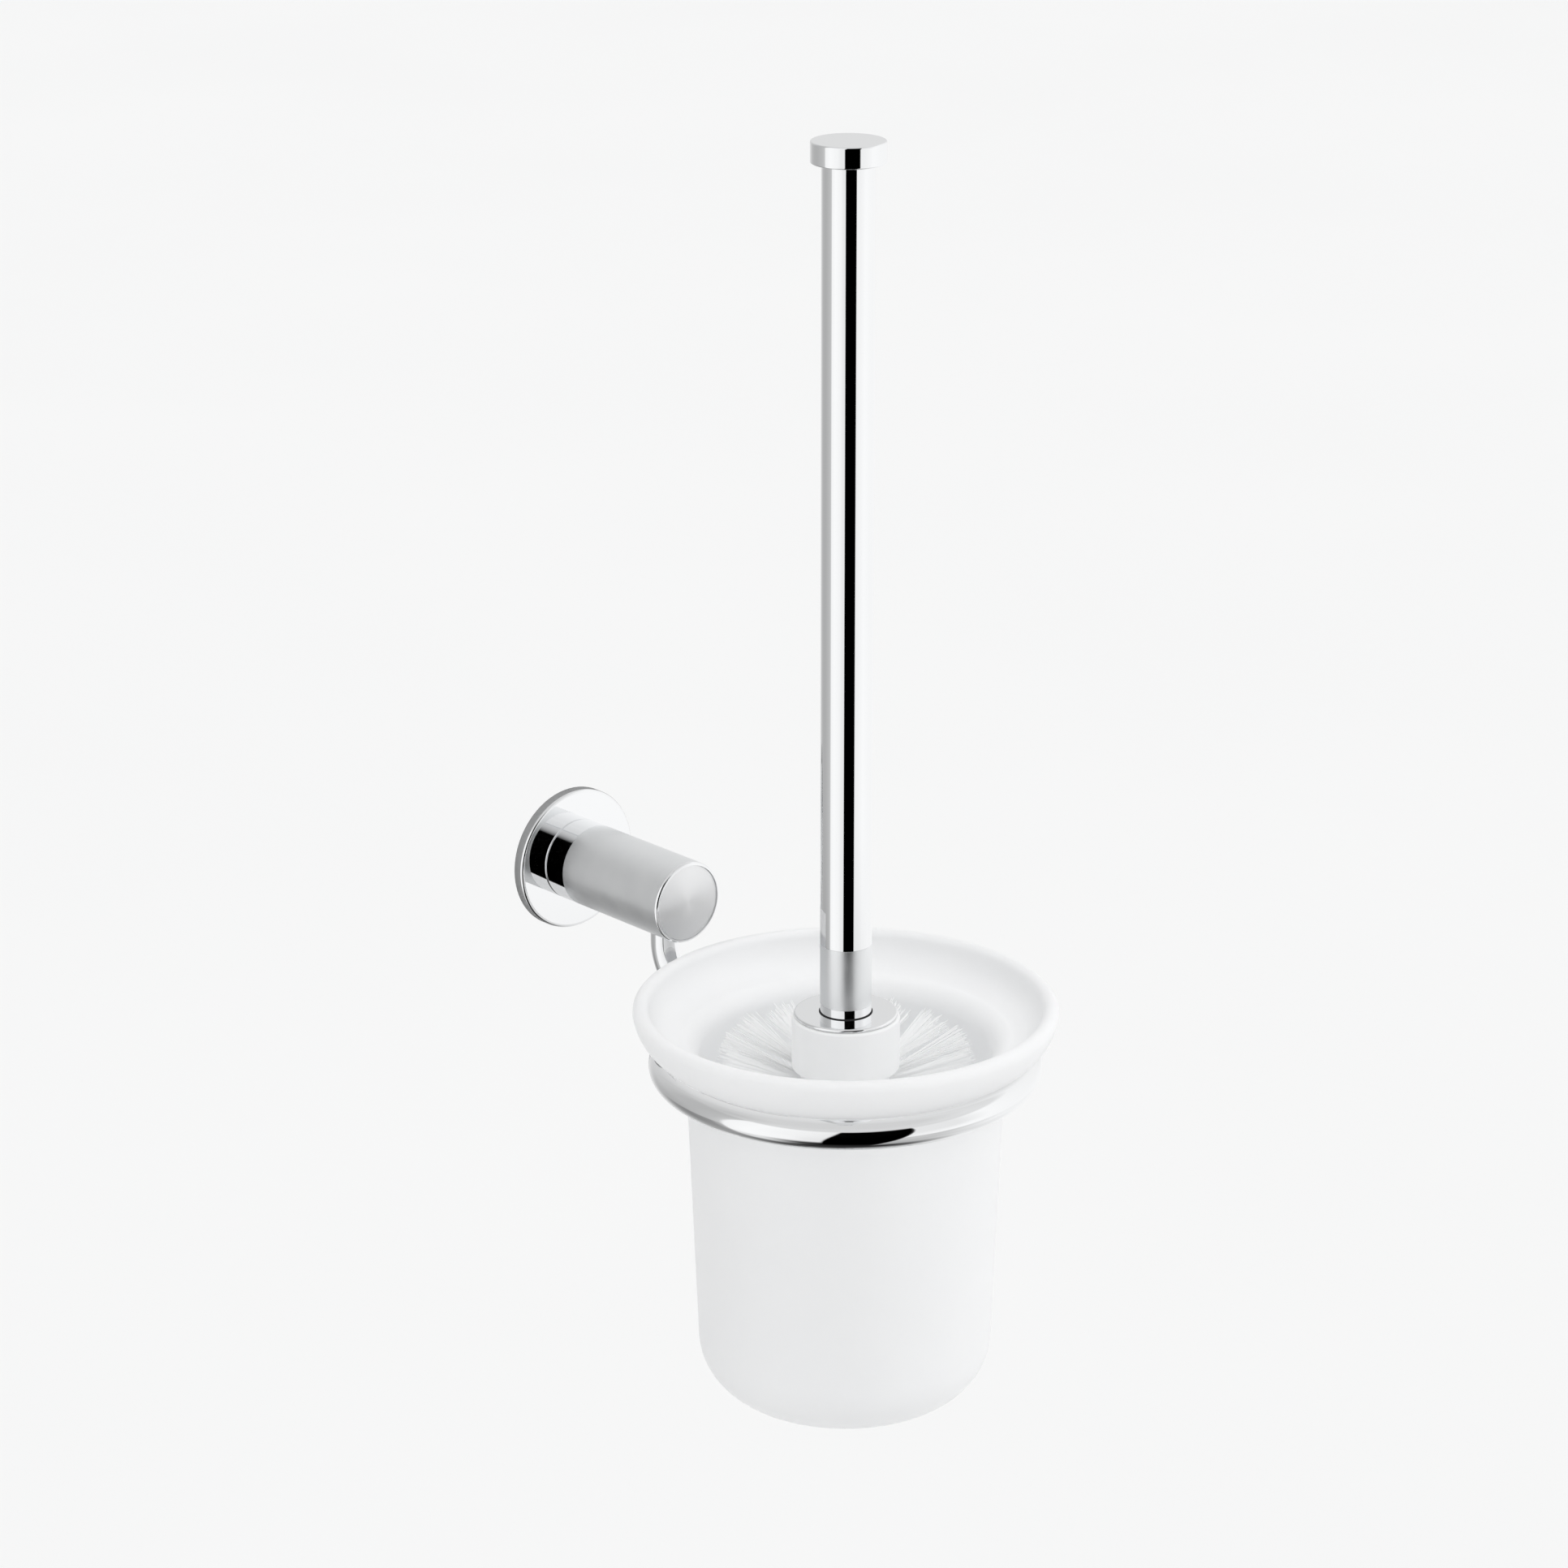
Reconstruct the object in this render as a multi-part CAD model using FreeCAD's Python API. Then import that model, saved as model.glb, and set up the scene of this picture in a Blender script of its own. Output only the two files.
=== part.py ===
"""Wall-mounted toilet brush holder: a post and ring bracket, a glass bowl and a brush.

The origin is the centre of the rosette's back on the wall. The wall is the plane Y = 0, the
object stands out towards -Y, and +Z is up. Lengths are millimetres. Each function below
makes one piece, and each piece is written to its own STEP file in parts/.
"""
import FreeCAD
import Part
import math
import os

from FreeCAD import Rotation, Vector

# ---- driving dimensions: where things stand ----
REACH = 133.7          # wall to the axis of ring, bowl and brush
RIM_Z = -11.7          # top of the bowl's rim, below the post's axis
RING_Z = RIM_Z - 20.25  # centre plane of the support ring

# ---- wall fixing and post ----
PLATE_R = 21.5
PLATE_T = 2.5
SCREW_SPACING = 30.0   # the two wall screws stand above each other
SCREW_HOLE_R = 2.2
COUNTERSINK_R = 3.7
COUNTERSINK_DEPTH = 1.5
BOSS_R = 8.0
BOSS_END = 20.0        # from the wall
ROSETTE_R = 23.5
ROSETTE_T = 4.0
ROSETTE_WALL = 1.2
ROSETTE_ROUND = 1.0
POST_R = 13.5
POST_ROUND = 0.5
BAND_END = 12.6        # where the polished band ends and the satin sleeve starts
SLEEVE_END = 58.3
POST_END = 59.5
CORE_R = 12.4          # the post's core under the satin sleeve
CORE_END = 56.3
CAP_ROUND = 1.1
CAP_FACE_R = 12.4      # satin disc let into the end cap
CAP_FACE_T = 1.0
CAP_DOME = 0.4         # the disc's face rises this much to its middle
SPIGOT_R = 6.0         # the end cap's plug in the core
SPIGOT_LENGTH = 2.8
GRUB_R = 2.0           # M4 grub screw that clamps the post to the boss
GRUB_Y = 8.3
GROOVE_HALF = 2.6
GROOVE_DEPTH = 1.0
LOCK_R = 2.5           # M5 grub screw that holds the arm in the post
HEX_R = 1.2            # hexagon sockets, across corners, halved

# ---- arm and ring ----
ROD_R = 4.5            # both are 9 mm rod
ARM_Y = 47.5           # arm's upright stretch, from the wall
ARM_TOP = 5.0          # how far the arm runs up past the post's axis
ARM_BEND = 16.0
RING_R = 56.8          # to the middle of the rod

# ---- glass bowl, heights counted from the rim ----
LIP_R = 2.6            # rounding of the rim, half the glass there
DISH_OUT_R = 16.0      # section radius of the dish's outside
DISH_C = (50.3, -0.5)  # centre of both dish arcs
LIP_DROP = -2.6
DISH_IN_R = DISH_OUT_R - 2 * LIP_R
CUP_R = 49.5           # outside radius of the cup at CUP_REF
CUP_REF = -30.0
CUP_TAPER = 0.0387     # change of radius per mm of height
CUP_WALL = 4.4
NECK_OUT_R = 2.5
NECK_IN_R = 6.5
BOWL_BOTTOM = -131.4
BASE_T = 5.5
FOOT_OUT_R = 19.6
FOOT_IN_R = 15.5

# ---- brush, heights counted from the rim ----
TUBE_R = 8.0
TUBE_WALL = 1.0
CAP_R = 11.3
CAP_TOP = 269.2
CAP_H = 6.5
CAP_EDGE_ROUND = 0.5
CAP_SPIGOT = 12.0
SATIN_TOP = 19.4       # the satin sleeve's ends
SATIN_BOTTOM = -0.15
END_BOTTOM = -3.0      # lower face of the handle's end fitting
END_SPIGOT_TOP = 34.0
WASHER_R = 8.35        # the black washer shows as a thin line round the handle's foot
DISC_TOP = -3.2
DISC_R = 16.05
DISC_T = 1.2
DISC_ROUND = 0.58      # its edge is almost a half circle
STUD_R = 4.0
STUD_TOP = 22.0
STUD_BOTTOM = -34.0
STUD_CHAMFER = 0.8
HUB_R = 16.8
HUB_BOTTOM = -21.5
HUB_ROUND = 0.9
HEAD_CORE_R = 14.0
HEAD_BOTTOM = -109.0
HEAD_ROUND = 6.0

# ---- bristles ----
ROWS = 8
TUFTS = 14             # in each row
TUFT_R = 1.6
TUFT_TIP_R = 3.0
TUFT_DEPTH = 4.0       # how deep a tuft sits in the head
TUFT_STRAIGHT = 2.0    # it spreads only beyond this distance from the head
TOP_ROOT = -26.0       # height of the first row's roots
ROW_PITCH = 10.3
TOP_TIP_R = 40.0       # reach of the first row
TIP_R = 38.4           # reach of the others
TOP_LEAN = 20.0        # degrees above the horizontal, first row
LEANS = (TOP_LEAN, 6.0, 4.0, 2.0, 0.0, -3.0, -8.0, -14.0)
END_TUFTS = 8
END_CIRCLE_R = 7.5
END_LEAN = -52.0
END_LENGTH = 17.0
END_DEPTH = 6.0

AXIS = Vector(0, -REACH, 0)
UP = Vector(0, 0, 1)
OUT = Vector(0, -1, 0)  # away from the wall


def above_rim(height):
    """Height in the object's frame of a height counted from the bowl's rim."""
    return RIM_Z + height


def upright(radius, low, high, inner=0.0):
    """Cylinder or tube on the brush axis between two heights from the rim."""
    base = Vector(0, -REACH, above_rim(low))
    solid = Part.makeCylinder(radius, high - low, base, UP)
    if inner:
        solid = solid.cut(Part.makeCylinder(inner, high - low, base, UP))
    return solid


def outward(radius, near, far, inner=0.0):
    """Cylinder or tube on the post's axis between two distances from the wall."""
    base = OUT * near
    solid = Part.makeCylinder(radius, far - near, base, OUT)
    if inner:
        solid = solid.cut(Part.makeCylinder(inner, far - near, base, OUT))
    return solid


def edges_at(solid, height_of, level):
    """The circular edges that lie at one level, where height_of reads a point."""
    return [e for e in solid.Edges if abs(height_of(e.CenterOfMass) - level) < 1e-4]


def from_wall(point):
    return -point.y


def above_post(point):
    return point.z


def hex_socket(radius, depth, mouth, inward):
    """Hexagonal recess for a grub screw's key."""
    side = Part.makePolygon(
        [Vector(radius * math.cos(a), radius * math.sin(a), 0)
         for a in [math.radians(60 * i) for i in range(7)]])
    prism = Part.Face(Part.Wire(side.Edges)).extrude(UP * depth)
    prism.Placement = FreeCAD.Placement(mouth, Rotation(UP, inward))
    return prism


# ------------------------------------------------------------------ bracket

def wall_plate():
    plate = outward(PLATE_R, 0, PLATE_T)
    boss = outward(BOSS_R, PLATE_T, BOSS_END)
    groove = outward(BOSS_R, GRUB_Y - GROOVE_HALF, GRUB_Y + GROOVE_HALF,
                     BOSS_R - GROOVE_DEPTH)
    body = plate.fuse(boss.cut(groove))
    for side in (-1, 1):
        at = Vector(0, 0, side * SCREW_SPACING / 2)
        hole = Part.makeCylinder(SCREW_HOLE_R, PLATE_T, at, OUT)
        sink = Part.makeCone(SCREW_HOLE_R, COUNTERSINK_R, COUNTERSINK_DEPTH,
                             at + OUT * (PLATE_T - COUNTERSINK_DEPTH), OUT)
        body = body.cut(hole).cut(sink)
    return body.removeSplitter()


def rosette():
    shell = outward(ROSETTE_R, 0, ROSETTE_T)
    shell = shell.makeFillet(ROSETTE_ROUND, edges_at(shell, from_wall, ROSETTE_T))
    hollow = outward(ROSETTE_R - ROSETTE_WALL, 0, ROSETTE_T - ROSETTE_WALL)
    return shell.cut(hollow).cut(outward(BOSS_R + 1, 0, ROSETTE_T))


def post_core():
    band = outward(POST_R, ROSETTE_T, BAND_END)
    band = band.makeFillet(POST_ROUND, edges_at(band, from_wall, ROSETTE_T))
    core = band.fuse(outward(CORE_R, BAND_END, CORE_END))
    core = core.cut(outward(BOSS_R, ROSETTE_T, BOSS_END + 2))
    core = core.cut(outward(LOCK_R, BOSS_END, ARM_Y))
    core = core.cut(outward(SPIGOT_R, CORE_END - SPIGOT_LENGTH - 0.2, CORE_END))
    core = core.cut(Part.makeCylinder(GRUB_R, POST_R, OUT * GRUB_Y, -UP))
    core = core.cut(arm_bore())
    return core.removeSplitter()


def arm_bore():
    """The hole in the post's underside that takes the arm."""
    foot = OUT * ARM_Y - UP * POST_R
    return Part.makeCylinder(ROD_R, POST_R + ARM_TOP, foot, UP)


def post_sleeve():
    sleeve = outward(POST_R, BAND_END, SLEEVE_END, CORE_R)
    return sleeve.cut(arm_bore())


def post_end_cap():
    cap = outward(POST_R, SLEEVE_END, POST_END)
    cap = cap.makeFillet(CAP_ROUND, edges_at(cap, from_wall, POST_END))
    cap = cap.cut(outward(CAP_FACE_R, POST_END - CAP_FACE_T, POST_END))
    cap = cap.fuse(outward(CORE_R, CORE_END, SLEEVE_END))
    cap = cap.fuse(outward(SPIGOT_R, CORE_END - SPIGOT_LENGTH, CORE_END))
    return cap.removeSplitter()


def post_end_disc():
    """A disc with a very slightly domed face."""
    base = POST_END - CAP_FACE_T
    ball_r = (CAP_FACE_R ** 2 + CAP_DOME ** 2) / (2 * CAP_DOME)
    ball = Part.makeSphere(ball_r, OUT * (POST_END - ball_r))
    return outward(CAP_FACE_R, base, POST_END).common(ball)


def grub_screw():
    """Clamps the post to the wall plate's boss from underneath."""
    top = BOSS_R - GROOVE_DEPTH
    bottom = POST_R - 0.6
    screw = Part.makeCylinder(GRUB_R, bottom - top, OUT * GRUB_Y - UP * top, -UP)
    return screw.cut(hex_socket(HEX_R, 2.0, OUT * GRUB_Y - UP * bottom, UP))


def arm_lock_screw():
    """Holds the arm in the post, from inside the post's rear bore."""
    tip = ARM_Y - ROD_R
    start = tip - 9.0
    screw = outward(LOCK_R, start, tip)
    return screw.cut(hex_socket(HEX_R, 2.5, OUT * start, OUT))


def support_ring():
    centre = Vector(0, -REACH, RING_Z)
    return Part.makeTorus(RING_R, ROD_R, centre, UP)


def arm():
    """Down out of the post, round one bend and forward into the ring's back."""
    top = Vector(0, -ARM_Y, ARM_TOP)
    bend_start = Vector(0, -ARM_Y, RING_Z + ARM_BEND)
    bend_end = Vector(0, -ARM_Y - ARM_BEND, RING_Z)
    middle = Vector(0, -ARM_Y - ARM_BEND, RING_Z + ARM_BEND)
    corner = middle + Vector(0, math.sqrt(0.5), -math.sqrt(0.5)) * ARM_BEND
    ring_back = Vector(0, -REACH + RING_R, RING_Z)
    path = Part.Wire([
        Part.LineSegment(top, bend_start).toShape(),
        Part.Arc(bend_start, corner, bend_end).toShape(),
        Part.LineSegment(bend_end, ring_back).toShape(),
    ])
    section = Part.Wire(Part.makeCircle(ROD_R, top, UP))
    rod = path.makePipeShell([section], True, True)
    return rod.cut(support_ring())


# ------------------------------------------------------------------ glass bowl

def on_arc(centre, radius, degrees):
    angle = math.radians(degrees)
    return centre[0] + radius * math.cos(angle), centre[1] + radius * math.sin(angle)


def direction(start, end):
    return math.degrees(math.atan2(end[1] - start[1], end[0] - start[0]))


def cup_radius(height):
    return CUP_R + CUP_TAPER * (height - CUP_REF)


class Outline:
    """A closed (radius, height) outline made of lines and arcs."""

    def __init__(self, start):
        self.start = start
        self.at = start
        self.edges = []

    def point(self, place):
        return Vector(place[0], 0, place[1])

    def line(self, end):
        self.edges.append(Part.LineSegment(self.point(self.at), self.point(end)).toShape())
        self.at = end

    def arc(self, centre, radius, first, last):
        start = on_arc(centre, radius, first)
        if math.dist(start, self.at) > 1e-6:
            self.line(start)
        middle = on_arc(centre, radius, (first + last) / 2)
        end = on_arc(centre, radius, last)
        curve = Part.Arc(self.point(start), self.point(middle), self.point(end))
        self.edges.append(curve.toShape())
        self.at = end

    def revolved(self):
        """Close the outline, turn it about the brush axis and stand it at the rim."""
        if math.dist(self.at, self.start) > 1e-6:
            self.line(self.start)
        face = Part.Face(Part.Wire(self.edges))
        solid = face.revolve(Vector(0, 0, 0), UP, 360)
        solid.translate(Vector(0, -REACH, RIM_Z))
        return solid


def glass_bowl():
    lean = math.degrees(math.atan(CUP_TAPER))
    lip_run = DISH_OUT_R - LIP_R
    lip_dz = LIP_DROP - DISH_C[1]
    lip_c = (DISH_C[0] + math.sqrt(lip_run ** 2 - lip_dz ** 2), LIP_DROP)
    lip_dir = direction(DISH_C, lip_c)

    neck_out_r = cup_radius(RING_Z - RIM_Z) + NECK_OUT_R
    drop = math.sqrt((DISH_OUT_R + NECK_OUT_R) ** 2 - (neck_out_r - DISH_C[0]) ** 2)
    neck_out_c = (neck_out_r, DISH_C[1] - drop)
    neck_in_r = cup_radius(RING_Z - RIM_Z) - CUP_WALL + NECK_IN_R
    drop = math.sqrt((DISH_IN_R + NECK_IN_R) ** 2 - (neck_in_r - DISH_C[0]) ** 2)
    neck_in_c = (neck_in_r, DISH_C[1] - drop)

    foot_out_z = BOWL_BOTTOM + FOOT_OUT_R
    foot_out_c = (cup_radius(foot_out_z) - FOOT_OUT_R, foot_out_z)
    floor = BOWL_BOTTOM + BASE_T
    foot_in_z = floor + FOOT_IN_R
    foot_in_c = (cup_radius(foot_in_z) - CUP_WALL - FOOT_IN_R, foot_in_z)

    outline = Outline((0, BOWL_BOTTOM))
    outline.arc(foot_out_c, FOOT_OUT_R, -90, -lean)
    outline.arc(neck_out_c, NECK_OUT_R, 180 - lean, direction(neck_out_c, DISH_C))
    outline.arc(DISH_C, DISH_OUT_R, direction(DISH_C, neck_out_c), lip_dir)
    outline.arc(lip_c, LIP_R, lip_dir, lip_dir + 180)
    outline.arc(DISH_C, DISH_IN_R, lip_dir, direction(DISH_C, neck_in_c))
    outline.arc(neck_in_c, NECK_IN_R, direction(neck_in_c, DISH_C), 180 - lean)
    outline.arc(foot_in_c, FOOT_IN_R, -lean, -90)
    outline.line((0, floor))
    return outline.revolved()


# ------------------------------------------------------------------ brush

def handle_cap():
    low = CAP_TOP - CAP_H
    head = upright(CAP_R, low, CAP_TOP)
    head = head.makeFillet(CAP_EDGE_ROUND, edges_at(head, above_post, above_rim(CAP_TOP)))
    return head.fuse(upright(TUBE_R - TUBE_WALL, low - CAP_SPIGOT, low))


def handle_tube():
    return upright(TUBE_R, SATIN_TOP, CAP_TOP - CAP_H, TUBE_R - TUBE_WALL)


def handle_sleeve():
    return upright(TUBE_R, SATIN_BOTTOM, SATIN_TOP, TUBE_R - TUBE_WALL)


def handle_end():
    """End fitting: a polished band, a spigot in sleeve and tube, and the stud's thread."""
    band = upright(TUBE_R, END_BOTTOM, SATIN_BOTTOM)
    spigot = upright(TUBE_R - TUBE_WALL, SATIN_BOTTOM, END_SPIGOT_TOP)
    return band.fuse(spigot).cut(upright(STUD_R, END_BOTTOM, STUD_TOP + 2))


def handle_washer():
    return upright(WASHER_R, DISC_TOP, END_BOTTOM, STUD_R)


def cover_disc():
    disc = upright(DISC_R, DISC_TOP - DISC_T, DISC_TOP)
    for level in (DISC_TOP - DISC_T, DISC_TOP):
        disc = disc.makeFillet(DISC_ROUND, edges_at(disc, above_post, above_rim(level)))
    return disc.cut(upright(STUD_R, DISC_TOP - DISC_T, DISC_TOP))


def brush_stud():
    """Steel stud moulded into the head and screwed into the handle's end fitting."""
    stud = upright(STUD_R, STUD_BOTTOM, STUD_TOP)
    return stud.makeChamfer(STUD_CHAMFER, edges_at(stud, above_post, above_rim(STUD_TOP)))


def tuft(length, depth, straight):
    """One tuft along +X from the head's surface at the origin, spreading to its tip."""
    root = Part.makeCylinder(TUFT_R, depth + straight, Vector(-depth, 0, 0), Vector(1, 0, 0))
    spread = Part.makeCone(TUFT_R, TUFT_TIP_R, length - straight,
                           Vector(straight, 0, 0), Vector(1, 0, 0))
    return root.fuse(spread).removeSplitter()


def placed(shape, turn, lean, radius, height):
    """Turn a shape made along +X to stand out of the head at an angle."""
    copy = shape.copy()
    copy.rotate(Vector(0, 0, 0), Vector(0, 1, 0), -lean)
    copy.translate(Vector(radius, 0, 0))
    copy.rotate(Vector(0, 0, 0), UP, turn)
    copy.translate(Vector(0, -REACH, above_rim(height)))
    return copy


def row_tufts(row, make):
    """The tufts of one row, or the holes they sit in, made by make(length)."""
    reach = TOP_TIP_R if row == 0 else TIP_R
    lean = LEANS[row]
    tip_drop = TUFT_TIP_R * abs(math.sin(math.radians(lean)))
    length = (reach - tip_drop - HEAD_CORE_R) / math.cos(math.radians(lean))
    shift = 0.5 if row % 2 else 0.0
    shapes = []
    for i in range(TUFTS):
        turn = 360.0 * (i + shift) / TUFTS
        height = TOP_ROOT - ROW_PITCH * row
        shapes.append(placed(make(length), turn, lean, HEAD_CORE_R, height))
    return shapes


def end_tufts(make):
    """Tufts that spread down out of the head's lower end."""
    shapes = []
    for i in range(END_TUFTS):
        turn = 360.0 * (i + 0.5) / END_TUFTS
        shapes.append(placed(make(END_LENGTH), turn, END_LEAN, END_CIRCLE_R, HEAD_BOTTOM))
    return shapes


def row_tuft(length):
    return tuft(length, TUFT_DEPTH, TUFT_STRAIGHT)


def end_tuft(length):
    return tuft(length, END_DEPTH, 2 * TUFT_STRAIGHT)


def row_hole(length):
    return Part.makeCylinder(TUFT_R, TUFT_DEPTH + TUFT_STRAIGHT,
                             Vector(-TUFT_DEPTH, 0, 0), Vector(1, 0, 0))


def end_hole(length):
    return Part.makeCylinder(TUFT_R, END_DEPTH + 2 * TUFT_STRAIGHT,
                             Vector(-END_DEPTH, 0, 0), Vector(1, 0, 0))


def brush_head():
    """Plastic head: the visible hub and the core below it, drilled for the tufts."""
    hub = upright(HUB_R, HUB_BOTTOM, DISC_TOP - DISC_T)
    hub = hub.makeFillet(HUB_ROUND, edges_at(hub, above_post, above_rim(DISC_TOP - DISC_T)))
    core = upright(HEAD_CORE_R, HEAD_BOTTOM, HUB_BOTTOM)
    core = core.makeFillet(HEAD_ROUND, edges_at(core, above_post, above_rim(HEAD_BOTTOM)))
    head = hub.fuse(core).cut(upright(STUD_R, STUD_BOTTOM, DISC_TOP - DISC_T))
    holes = end_tufts(end_hole)
    for row in range(ROWS):
        holes += row_tufts(row, row_hole)
    return head.cut(holes)


# ------------------------------------------------------------------ output

PIECES = {
    "wall_plate": wall_plate,
    "rosette": rosette,
    "post_core": post_core,
    "post_sleeve": post_sleeve,
    "post_end_cap": post_end_cap,
    "post_end_disc": post_end_disc,
    "grub_screw": grub_screw,
    "arm_lock_screw": arm_lock_screw,
    "arm": arm,
    "support_ring": support_ring,
    "glass_bowl": glass_bowl,
    "handle_cap": handle_cap,
    "handle_tube": handle_tube,
    "handle_sleeve": handle_sleeve,
    "handle_end": handle_end,
    "handle_washer": handle_washer,
    "cover_disc": cover_disc,
    "brush_stud": brush_stud,
    "brush_head": brush_head,
}


def main():
    os.makedirs("parts", exist_ok=True)
    shapes = {name: make() for name, make in PIECES.items()}
    for row in range(ROWS):
        shapes["bristle_row_%d" % (row + 1)] = Part.makeCompound(row_tufts(row, row_tuft))
    shapes["bristle_end"] = Part.makeCompound(end_tufts(end_tuft))
    for name, shape in shapes.items():
        shape.exportStep("parts/%s.step" % name)
        print("%-18s %3d solid(s) %12.1f mm3 %s" % (
            name, len(shape.Solids), shape.Volume, "valid" if shape.isValid() else "INVALID"))


main()
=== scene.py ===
"""Looks of the wall-mounted toilet brush holder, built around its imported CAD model.

Lengths in this file are millimetres unless a name says otherwise, and are turned into metres
when a mesh is made. Heights on the brush and the bowl are counted from the bowl's rim, and
distances on the post are counted from the wall.
"""

import math
import random

import bpy
from mathutils import Matrix, Vector


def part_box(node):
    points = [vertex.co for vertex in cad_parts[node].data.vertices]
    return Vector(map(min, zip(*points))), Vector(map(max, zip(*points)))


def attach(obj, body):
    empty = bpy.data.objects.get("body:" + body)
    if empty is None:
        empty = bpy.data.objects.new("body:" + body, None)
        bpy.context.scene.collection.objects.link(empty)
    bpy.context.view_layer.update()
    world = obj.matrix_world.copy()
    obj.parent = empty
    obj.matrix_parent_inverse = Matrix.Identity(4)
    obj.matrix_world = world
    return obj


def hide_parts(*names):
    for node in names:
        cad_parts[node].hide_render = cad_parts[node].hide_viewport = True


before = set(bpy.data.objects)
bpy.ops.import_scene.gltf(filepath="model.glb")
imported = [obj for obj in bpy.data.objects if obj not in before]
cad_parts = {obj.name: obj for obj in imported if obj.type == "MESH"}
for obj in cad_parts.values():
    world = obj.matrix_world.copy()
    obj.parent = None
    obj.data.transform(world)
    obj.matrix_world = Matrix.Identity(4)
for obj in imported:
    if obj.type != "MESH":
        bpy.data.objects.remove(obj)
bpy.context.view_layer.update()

MM = 0.001
disc_low, disc_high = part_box("cover_disc")
RIM_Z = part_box("glass_bowl")[1].z / MM
AXIS_Y = (disc_low.y + disc_high.y) / 2 / MM    # of the bowl and the brush

POST_R = 13.5           # post, outside its satin sleeve
POST_BORE = 12.4        # inside of the satin sleeve, and edge of the end disc
ROSETTE_R = 23.5
ROD_R = 4.5             # the rod of the arm and the ring
RING_R = 56.8           # middle of the ring's rod
RING_Z = -20.25         # from the rim
ARM_Y = -47.5           # where the arm leaves the post
ARM_BEND = 16.0
TUBE_R = 8.0            # handle
TUBE_BORE = 7.0
STUD_R = 4.05           # hole for the stud
HEAD_R = 14.0           # brush head below its hub
HEAD_END = -109.0       # from the rim

# ------------------------------------------------------------------ mesh helpers


def corner(previous, at, after, radius, steps=5):
    """The points that round one corner of an outline."""
    a = (Vector(previous) - Vector(at)).normalized()
    b = (Vector(after) - Vector(at)).normalized()
    half = a.angle(b) / 2
    reach = radius / math.tan(half)
    centre = Vector(at) + (a + b).normalized() * (radius / math.sin(half))
    start = Vector(at) + a * reach - centre
    end = Vector(at) + b * reach - centre
    turn = start.angle_signed(end)
    points = []
    for i in range(steps + 1):
        points.append(centre + Matrix.Rotation(-turn * i / steps, 2) @ start)
    return points


def outline(*corners):
    """A closed outline from (radius, height, rounding) corners, with loops that hold each flat."""
    ring = []
    count = len(corners)
    for i, (r, h, rounding) in enumerate(corners):
        if rounding:
            ring += corner(corners[i - 1][:2], (r, h), corners[(i + 1) % count][:2], rounding)
        else:
            ring.append(Vector((r, h)))
    held = []
    for i, here in enumerate(ring):
        after = ring[(i + 1) % len(ring)]
        held.append(here)
        length = (after - here).length
        if length > 0.5:
            held.append(here.lerp(after, 0.08 / length))
            held.append(here.lerp(after, 1 - 0.08 / length))
    return held


def make_object(name, vertices, faces, smooth=True):
    mesh = bpy.data.meshes.new(name)
    mesh.from_pydata([Vector(v) * MM for v in vertices], [], faces)
    mesh.polygons.foreach_set("use_smooth", [smooth] * len(mesh.polygons))
    mesh.update()
    piece = bpy.data.objects.new(name, mesh)
    bpy.context.scene.collection.objects.link(piece)
    return piece


def on_brush(r, angle, h):
    """A point at a radius, angle and height from the rim, about the brush's axis."""
    return (r * math.cos(angle), AXIS_Y + r * math.sin(angle), RIM_Z + h)


def on_post(r, angle, h):
    """A point at a radius and angle about the post's axis, h out from the wall."""
    return (r * math.cos(angle), -h, r * math.sin(angle))


def lathe(name, points, place, segments=160):
    """Turn a closed outline of (radius, height) points about an axis."""
    vertices = []
    rings = []
    for r, h in points:
        if r < 1e-6:
            rings.append([len(vertices)] * segments)
            vertices.append(place(0, 0, h))
        else:
            rings.append(range(len(vertices), len(vertices) + segments))
            for j in range(segments):
                vertices.append(place(r, 2 * math.pi * j / segments, h))
    faces = []
    for i, low in enumerate(rings):
        high = rings[(i + 1) % len(rings)]
        for j in range(segments):
            k = (j + 1) % segments
            face = list(dict.fromkeys((low[j], low[k], high[k], high[j])))
            if len(face) > 2:
                faces.append(face)
    piece = make_object(name, vertices, faces)
    outward(piece)
    return piece


def outward(piece):
    """Turn all faces outwards, going by the sign of the volume they enclose."""
    mesh = piece.data
    volume = 0.0
    for polygon in mesh.polygons:
        volume += polygon.area * polygon.normal.dot(polygon.center - mesh.vertices[0].co)
    if volume < 0:
        mesh.flip_normals()


def sweep(name, path, radius, segments=64):
    """A round rod along a path that lies in the plane X = 0."""
    vertices = []
    for i, point in enumerate(path):
        ahead = path[min(i + 1, len(path) - 1)] - path[max(i - 1, 0)]
        ahead.normalize()
        across = Vector((1, 0, 0))
        up = across.cross(ahead)
        for j in range(segments):
            angle = 2 * math.pi * j / segments
            vertices.append(point + (across * math.cos(angle) + up * math.sin(angle)) * radius)
    faces = [list(range(segments))[::-1]]
    for i in range(len(path) - 1):
        for j in range(segments):
            k = (j + 1) % segments
            low, high = i * segments, (i + 1) * segments
            faces.append((low + j, low + k, high + k, high + j))
    last = (len(path) - 1) * segments
    faces.append(list(range(last, last + segments)))
    piece = make_object(name, vertices, faces)
    for polygon in (piece.data.polygons[0], piece.data.polygons[-1]):
        polygon.use_smooth = False
    outward(piece)
    return piece


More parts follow.
